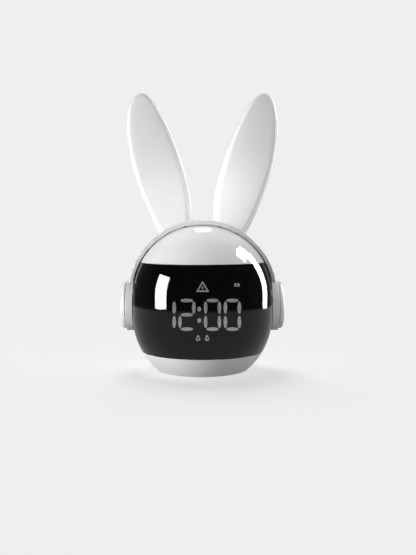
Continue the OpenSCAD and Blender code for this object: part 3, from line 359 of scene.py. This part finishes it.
def ear_half_thickness(u):
    """Half thickness at height u: flared at the foot and thin at the tip."""
    half = EAR_T/2 + EAR_FLARE*math.exp(-max(0.0, u)/EAR_FLARE_H)
    past = u - EAR_LEN + EAR_TIP_H
    if past < 0:
        return half
    return half*math.sqrt(max(0.0, 1 - EAR_TIP_THIN*(past/EAR_TIP_H)**2))


def ear_bulge(u):
    """How far the front bulges at height u."""
    return BULGE_SHARE*min(ear_side(u, 1), ear_side(u, -1))


def ear_surface(x, u, side):
    """Depth of the ear's front at distance x from its middle line."""
    return -ear_half_thickness(u) - ear_bulge(u)*(1 - (x/face_width(u, side))**2)


def edge_share(u, side):
    """Size of the edges at height u, as a share of their full size."""
    return min(1.0, ear_side(u, side)/NARROW_W)


def panel_width(u, side, gap):
    """Half width of the face panel, drawn in to a round end near the tip."""
    lip = EAR_LIP*edge_share(u, side)
    past = max(0.0, min(1.0, (u - PANEL_END + PANEL_ROUND)/PANEL_ROUND))
    return max(0.0, face_width(u, side) - lip - gap)*math.sqrt(1 - past**2)


def smooth_line(points, after):
    """Points of a smooth curve through points; after is the point that follows the last."""
    full = [points[0]] + points + [after]
    line = []
    for a, b, c, d in zip(full, full[1:], full[2:], full[3:]):
        for k in range(LINE_STEPS):
            t = k/LINE_STEPS
            line.append(tuple(0.5*(2*b[i] + (c[i] - a[i])*t
                                   + (2*a[i] - 5*b[i] + 4*c[i] - d[i])*t*t
                                   + (3*b[i] - a[i] - 3*c[i] + d[i])*t**3) for i in (0, 1)))
    return line


def ring(front, outline, back):
    """Closed outline from the front middle, round both sides."""
    left = [(-x, y) for x, y in outline(-1)]
    return [front] + outline(1) + [back] + left[::-1]


def shell_ring(u, depth):
    """Outline of the ear shell at height u, with the panel's recess depth deep."""
    t = ear_half_thickness(u)
    b = ear_bulge(u)

    def outline(side):
        # half widths of the side, its face and the recess, the rim's width, and the edges' size
        w = ear_side(u, side)
        f = face_width(u, side)
        e = panel_width(u, side, -RECESS_GAP)
        r = w - f
        k = edge_share(u, side)
        inside = [(e*share, ear_surface(e*share, u, side) + depth)
                  for share in (0.25, 0.5, 0.75, 1.0)]
        # lip, slanted rim, round edge and back
        rim = [(e, ear_surface(e, u, side)), (f - 0.1*k, -t + 0.14*k), (f + 0.1*k, -t + 0.5*k),
               (f + 0.5*r, -0.6*t), (f + 0.84*r, -0.26*t), (w, 0.04*t), (w - 0.1*r, 0.36*t),
               (w - 0.4*r, 0.66*t), (w - 0.9*r, 0.86*t), (0.62*f, t), (0.3*f, t + 0.6*b),
               (0, t + 0.8*b)]
        return inside + smooth_line(rim, (-0.3*f, t + 0.6*b))

    return ring((0, ear_surface(0, u, 1) + depth), outline, (0, t + 0.8*b))


def panel_ring(u):
    """Outline of the face panel at height u, with softly rounded front edges."""
    def outline(side):
        p = panel_width(u, side, 0)
        n = min(PANEL_EDGE, 0.4*p)
        points = [(p*share, ear_surface(p*share, u, side)) for share in (0.2, 0.4, 0.6, 0.8)]
        for angle in (0, 30, 60, 90):
            x = p - n + n*math.sin(math.radians(angle))
            drop = n*(1 - math.cos(math.radians(angle)))
            points.append((x, ear_surface(p - n, u, side) + drop))
        points.append((p, ear_surface(p, u, side) + EAR_FACE_T))
        return points

    middle = ear_surface(0, u, 1)
    return ring((0, middle), outline, (0, middle + EAR_FACE_T + ear_bulge(u)))


def place_ear(x, y, u):
    """Place in the world, in millimetres, of a point of the right ear."""
    lean = math.radians(EAR_LEAN)
    return (EAR_X + x*math.cos(lean) + u*math.sin(lean), y,
            EAR_FOOT_Z - x*math.sin(lean) + u*math.cos(lean))


def foot_heights(ring_at, radius):
    """Heights at which each point of an outline meets a radius round the head's middle."""
    heights = []
    for index in range(len(ring_at(0))):
        low, high = FOOT_RANGE
        for _ in range(FOOT_HALVINGS):
            u = (low + high)/2
            x, _, z = place_ear(*ring_at(u)[index], u)
            if math.hypot(x, z - HIGH_Z) < radius:
                low = u
            else:
                high = u
        heights.append(high)
    return heights


def rows_to_tip(foot, tip):
    """Rows of heights from each point's foot to the tip, closer together towards the tip."""
    shares = [1 - (1 - i/EAR_ROWS)**TIP_CROWDING for i in range(EAR_ROWS + 1)]
    return [[u + (tip - u)*share for u in foot] for share in shares]


def placed_row(ring_at, heights):
    """Points of an outline in the world, each at its own height."""
    return [place_ear(*ring_at(u)[j], u) for j, u in enumerate(heights)]


def shell_rows():
    """Rows of the shell: its foot, the shelf, then down into the recess and up to the tip."""
    def solid(u):
        return shell_ring(u, 0)

    def recessed(u):
        return shell_ring(u, EAR_FACE_T + RECESS_GAP)

    foot = foot_heights(solid, BAND_OUT_R + EAR_SEAT)
    shelf = foot_heights(solid, BAND_OUT_R + EAR_SHELF)
    return ([placed_row(solid, foot), placed_row(solid, shelf)]
            + [placed_row(recessed, row) for row in rows_to_tip(shelf, EAR_LEN - TIP_GAP)])


def panel_rows():
    """Rows of the face panel, from just above the shelf to its round end."""
    foot = foot_heights(panel_ring, BAND_OUT_R + EAR_SHELF + RECESS_GAP)
    return [placed_row(panel_ring, row) for row in rows_to_tip(foot, PANEL_END)]


def linked_object(name, bm):
    """New object in the scene with the mesh that bm holds."""
    mesh = bpy.data.meshes.new(name)
    bm.to_mesh(mesh)
    bm.free()
    thing = bpy.data.objects.new(name, mesh)
    scene.collection.objects.link(thing)
    return thing


def ear_piece(name, side, points):
    """Closed mesh through rows of points, mirrored for the left ear."""
    bm = bmesh.new()
    rows = [[bm.verts.new((side*x*MM, y*MM, z*MM)) for x, y, z in row] for row in points]
    count = len(rows[0])
    for low, high in zip(rows, rows[1:]):
        for j in range(count):
            n = (j + 1) % count
            bm.faces.new((low[j], low[n], high[n], high[j]))
    bm.faces.new(rows[0])
    bm.faces.new(rows[-1])
    bmesh.ops.remove_doubles(bm, verts=bm.verts, dist=MERGE)
    bmesh.ops.dissolve_degenerate(bm, dist=DEGENERATE, edges=bm.edges)
    bmesh.ops.recalc_face_normals(bm, faces=bm.faces)
    for face in bm.faces:
        face.smooth = True
    piece = linked_object(name, bm)
    piece.data.set_sharp_from_angle(angle=math.radians(SHARP_ANGLE))
    return piece


SHELL_ROWS = shell_rows()
PANEL_ROWS = panel_rows()
for side, word in ((-1, "left"), (1, "right")):
    dress(ear_piece(word + "_ear_back", side, SHELL_ROWS), ear_face, "white_shell", "clock",
          word + "_ear_shell")
    dress(ear_piece(word + "_ear_front", side, PANEL_ROWS), ear_face, "ear_face", "clock",
          word + "_ear_face")

# ---- display signs, with finer lines than the solids; lengths in millimetres ----

SIGN_LOW, SIGN_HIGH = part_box("display_icons")
DIGITS_Z = sum(corner[2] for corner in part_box("display_segments_lit"))/2/MM

TRIANGLE = ((-3.6, -3), (3.6, -3), (0, 3.1))
TRIANGLE_CORE = ((-2.3, -2.2), (2.3, -2.2), (0, 1.6))
BOLT = ((0.4, 0.75), (-0.7, -0.65), (-0.1, -0.65), (-0.35, -1.85), (0.7, -0.35), (0.1, -0.35))
BATTERY = ((-1.45, -0.88), (1.15, -0.88), (1.5, -0.5), (1.5, 0.4), (1.1, 0.88), (-1.45, 0.88))
BATTERY_WINDOW = ((-0.5, -0.45), (0.2, -0.45), (0.4, 0.45), (-0.35, 0.45))
BELL = ((-1.3, -1.3), (-0.5, -1.3), (-0.3, -1.7), (0.3, -1.7), (0.5, -1.3), (1.3, -1.3),
        (0.85, 0.2), (0.5, 1.15), (0.2, 1.6), (-0.2, 1.6), (-0.5, 1.15), (-0.85, 0.2))
BELL_HOLE = ((-0.55, -0.85), (0.55, -0.85), (0.5, -0.1), (0, 0.75), (-0.5, -0.1))

# place right of and above the digits' middle, then outlines, of which the second is a hole
SIGNS = (
    (0.05, 15.75, (TRIANGLE, TRIANGLE_CORE)),
    (0.05, 15.55, (BOLT,)),
    (18.85, 16.6, (BATTERY, BATTERY_WINDOW)),
    (-2.44, -12.78, (BELL, BELL_HOLE)),
    (2.5, -12.78, (BELL, BELL_HOLE)),
)


def add_sign(bm, x, z, outlines):
    """Thin upright plate in the display's plane, with the given outline and hole."""
    loops = [[Vector(((x + dx)*MM, 0, (DIGITS_Z + z + dz)*MM)) for dx, dz in outline]
             for outline in outlines]
    points = [point for loop in loops for point in loop]
    front = [bm.verts.new((point.x, SIGN_LOW[1], point.z)) for point in points]
    back = [bm.verts.new((point.x, SIGN_HIGH[1], point.z)) for point in points]
    for corners in tessellate_polygon(loops):
        bm.faces.new([front[i] for i in corners])
        bm.faces.new([back[i] for i in reversed(corners)])
    start = 0
    for loop in loops:
        for i in range(len(loop)):
            a = start + i
            b = start + (i + 1) % len(loop)
            bm.faces.new((front[a], front[b], back[b], back[a]))
        start += len(loop)


def signs_piece():
    """All the signs as one piece."""
    bm = bmesh.new()
    for sign in SIGNS:
        add_sign(bm, *sign)
    bmesh.ops.recalc_face_normals(bm, faces=bm.faces)
    return linked_object("display_signs", bm)


dress(signs_piece(), segment_lit, "segment_lit", "clock", "display_icons")

# ---- stage ----

BACKDROP = 0.863          # brightness of the pale grey round the clock
AMBIENT = 0.12            # light from all around
ROOM_DARK = 0.05          # what gloss shows of the room beside and in front of the clock
WALL_LOW = 0.15           # what gloss shows of the wall behind it, low down and high up
WALL_HIGH = 0.35
# the wall's place, as parts of a unit vector that points to it
WALL_BACK = (0.1, 0.3)    # parts backwards between which it fades in
WALL_TOP = 0.5            # part upwards at which it has its high tone
WALL_SIDE = (0.6, 0.8)    # slopes to the side between which it fades out
WALL_SPREAD = 0.15        # how much wider it gets higher up

FLOOR_R = 3.0
FLOOR_COLOR = 0.5         # tone of its lit part, on which the shadow lies
FLOOR_GLOW = 0.614        # brightness that no shadow takes away
FLOOR_BOUNCE = 0.15       # light that the floor throws back on the clock
FLOOR_GLOSS_GLOW = 0.45   # what gloss shows of the floor, out to the radius below
FLOOR_GLOSS_R = 0.40
FLOOR_GLOSS_EDGE = 0.015  # half width of the soft edge there


class Formula:
    """Short calls for number nodes in a node tree."""

    def __init__(self, tree):
        self.tree = tree
        self.ray = tree.nodes.new("ShaderNodeLightPath").outputs

    def put(self, value, socket):
        if isinstance(value, (int, float)):
            socket.default_value = value
        else:
            self.tree.links.new(value, socket)

    def math(self, operation, first, second=0.0):
        node = self.tree.nodes.new("ShaderNodeMath")
        node.operation = operation
        self.put(first, node.inputs[0])
        self.put(second, node.inputs[1])
        return node.outputs[0]

    def ease(self, value, low, high, out_low=0.0, out_high=1.0):
        """Smooth step from out_low at low to out_high at high."""
        node = self.tree.nodes.new("ShaderNodeMapRange")
        node.interpolation_type = "SMOOTHSTEP"
        self.put(value, node.inputs["Value"])
        for key, number in (("From Min", low), ("From Max", high),
                            ("To Min", out_low), ("To Max", out_high)):
            self.put(number, node.inputs[key])
        return node.outputs["Result"]

    def mix(self, share, low, high):
        node = self.tree.nodes.new("ShaderNodeMix")
        node.data_type = "FLOAT"
        self.put(share, node.inputs[0])
        self.put(low, node.inputs[2])
        self.put(high, node.inputs[3])
        return node.outputs[0]

    def split(self, vector):
        node = self.tree.nodes.new("ShaderNodeSeparateXYZ")
        self.tree.links.new(vector, node.inputs[0])
        return node.outputs


def floor_graph():
    """Pale floor that keeps the shadow. Other surfaces get less light from it than it shows."""
    g = Graph("floor")
    f = Formula(g.tree)
    glossy = f.ray["Is Glossy Ray"]
    color = f.mix(glossy, FLOOR_COLOR, 0.0)
    cloud = g.vary(g.noise(6, detail=2), 0.98, 1.02)
    g.link(f.math("MULTIPLY", cloud, color), g.shader.inputs["Base Color"])
    g.link(f.mix(glossy, FLOOR_GLOW, FLOOR_GLOSS_GLOW), g.shader.inputs["Emission Strength"])
    g.set(Roughness=0.9, Specular_IOR_Level=0.0, Emission_Color=(1.0, 1.0, 1.0))

    dim = g.add("ShaderNodeEmission")
    dim.inputs["Strength"].default_value = FLOOR_BOUNCE
    shown = f.math("MAXIMUM", f.ray["Is Camera Ray"],
                   f.math("MAXIMUM", glossy, f.ray["Is Transmission Ray"]))
    seen = g.add("ShaderNodeMixShader")
    g.link(shown, seen.inputs[0])
    g.link(dim.outputs[0], seen.inputs[1])
    g.link(g.shader.outputs[0], seen.inputs[2])

    # far out, reflections pass through the floor to the world's dark room
    place = f.split(g.position())
    radius = f.math("SQRT", f.math("ADD", f.math("MULTIPLY", place["X"], place["X"]),
                                   f.math("MULTIPLY", place["Y"], place["Y"])))
    past = f.ease(radius, FLOOR_GLOSS_R - FLOOR_GLOSS_EDGE, FLOOR_GLOSS_R + FLOOR_GLOSS_EDGE)
    clear = g.add("ShaderNodeMixShader")
    g.link(f.math("MULTIPLY", past, glossy), clear.inputs[0])
    g.link(seen.outputs[0], clear.inputs[1])
    g.link(g.add("ShaderNodeBsdfTransparent").outputs[0], clear.inputs[2])
    g.link(clear.outputs[0], g.output.inputs["Surface"])
    return g


def make_floor():
    """Round disc under the clock, as part of the stage."""
    bm = bmesh.new()
    bmesh.ops.create_circle(bm, cap_ends=True, radius=FLOOR_R, segments=128)
    disc = linked_object("floor", bm)
    disc.data.materials.append(floor_graph().material)
    return disc


def make_world():
    """Pale for the camera, dim for the light it sheds; gloss shows a wall behind, dark beside."""
    world = bpy.data.worlds.new("studio")
    scene.world = world
    world.use_nodes = True
    f = Formula(world.node_tree)
    background = f.tree.nodes["Background"]
    background.inputs["Color"].default_value = (1, 1, 1, 1)
    way = f.split(f.tree.nodes.new("ShaderNodeTexCoord").outputs["Generated"])
    behind = f.ease(way["Y"], *WALL_BACK)
    slope = f.math("DIVIDE", f.math("ABSOLUTE", way["X"]),
                   f.math("ADD", way["Y"], f.math("MULTIPLY", way["Z"], WALL_SPREAD)))
    inside = f.ease(slope, *WALL_SIDE, 1.0, 0.0)
    wall = f.ease(way["Z"], 0.0, WALL_TOP, WALL_LOW, WALL_HIGH)
    room = f.mix(f.math("MULTIPLY", behind, inside), ROOM_DARK, wall)
    shown = f.mix(f.ray["Is Glossy Ray"], AMBIENT, room)
    shown = f.mix(f.ray["Is Transmission Ray"], shown, BACKDROP)
    shown = f.mix(f.ray["Is Camera Ray"], shown, BACKDROP)
    f.put(shown, background.inputs["Strength"])


# ---- lamps ----

MIDDLE = Vector((0, 0, 0.07))    # what the lamps aim at

FLOOR_SUN = 1.345         # strength of the floor's sun
SUN_PLACE = (-170, 62)    # azimuth and elevation in degrees
SUN_ANGLE = 30            # degrees, wide for a soft shadow

# name, azimuth and elevation in degrees, distance and size in metres, radiance,
# whether it lights surfaces, whether it shows in gloss
SOFTBOXES = (
    ("key", -68, 5, 0.8, (0.35, 0.28), 17.2, True, False),
    ("key_gloss", -68.3, 7.4, 0.516, (0.2, 0.3), 25.0, False, True),
    ("front_low", -20, 4, 0.7, (0.4, 0.12), 8.5, True, False),
    ("right", 90, 22, 0.7, (0.3, 0.3), 7.5, True, False),
    ("right_top", 115, 55, 0.6, (0.2, 0.2), 5.0, True, False),
    ("back", 180, 30, 1.0, (0.5, 0.4), 3.0, True, False),
    ("back_gloss", 180, 45.6, 1.0, (0.18, 0.26), 20.0, False, True),
    ("right_strip", 118.9, 17.2, 0.512, (0.14, 0.51), 20.0, False, True),
    ("right_gloss", 108, 42, 1.05, (0.3, 0.25), 20.0, False, True),
)

# small lamp close over the dome, for the ears' feet
EAR_FEET_PLACE = Vector((0.004, -0.036, 0.107))
EAR_FEET_AIM = Vector((0.004, 0, 0.102))
EAR_FEET_SIZE = (0.06, 0.012)
EAR_FEET_RADIANCE = 2.5


def around(azimuth, elevation, distance):
    """Place round the clock; azimuth 0 is the camera's side and 90 the viewer's right."""
    a, e = math.radians(azimuth), math.radians(elevation)
    way = Vector((math.sin(a)*math.cos(e), -math.cos(a)*math.cos(e), math.sin(e)))
    return MIDDLE + way*distance


def softbox(name, place, size, radiance, diffuse, glossy, aim=MIDDLE):
    """Rectangular light that faces its aim, with its brightness given as radiance."""
    data = bpy.data.lights.new(name, "AREA")
    data.shape = "RECTANGLE"
    data.size, data.size_y = size
    data.energy = radiance*math.pi*size[0]*size[1]
    lamp = bpy.data.objects.new(name, data)
    lamp.location = place
    lamp.rotation_euler = (aim - place).to_track_quat("-Z", "Y").to_euler()
    lamp.visible_camera = False
    lamp.visible_diffuse = diffuse
    lamp.visible_glossy = glossy
    lamp.visible_transmission = False    # keeps stray images of it out of the lens
    scene.collection.objects.link(lamp)
    return lamp


def shine_on(lamp, thing, state):
    """Let a lamp light only one thing (INCLUDE), or all but that thing (EXCLUDE)."""
    group = bpy.data.collections.new(lamp.name + "_receivers")
    group.objects.link(thing)
    lamp.light_linking.receiver_collection = group
    group.collection_objects[0].light_linking.link_state = state


def floor_sun():
    """Soft light from behind and above that gives the floor its even tone and the shadow."""
    data = bpy.data.lights.new("floor_sun", "SUN")
    data.energy = FLOOR_SUN
    data.angle = math.radians(SUN_ANGLE)
    sun = bpy.data.objects.new("floor_sun", data)
    sun.rotation_euler = (MIDDLE - around(*SUN_PLACE, 1)).to_track_quat("-Z", "Y").to_euler()
    scene.collection.objects.link(sun)
    return sun


floor = make_floor()
shine_on(floor_sun(), floor, "INCLUDE")
make_world()
for name, azimuth, elevation, distance, *rest in SOFTBOXES:
    shine_on(softbox(name, around(azimuth, elevation, distance), *rest), floor, "EXCLUDE")
shine_on(softbox("ear_feet", EAR_FEET_PLACE, EAR_FEET_SIZE, EAR_FEET_RADIANCE, True, False,
                 EAR_FEET_AIM), floor, "EXCLUDE")

# the lens shows the room, not the cups close beside it
for word in ("left", "right"):
    for part in ("_cup_housing", "_cup_cap"):
        nodes[word + part].visible_glossy = False

scene.view_settings.view_transform = "Standard"
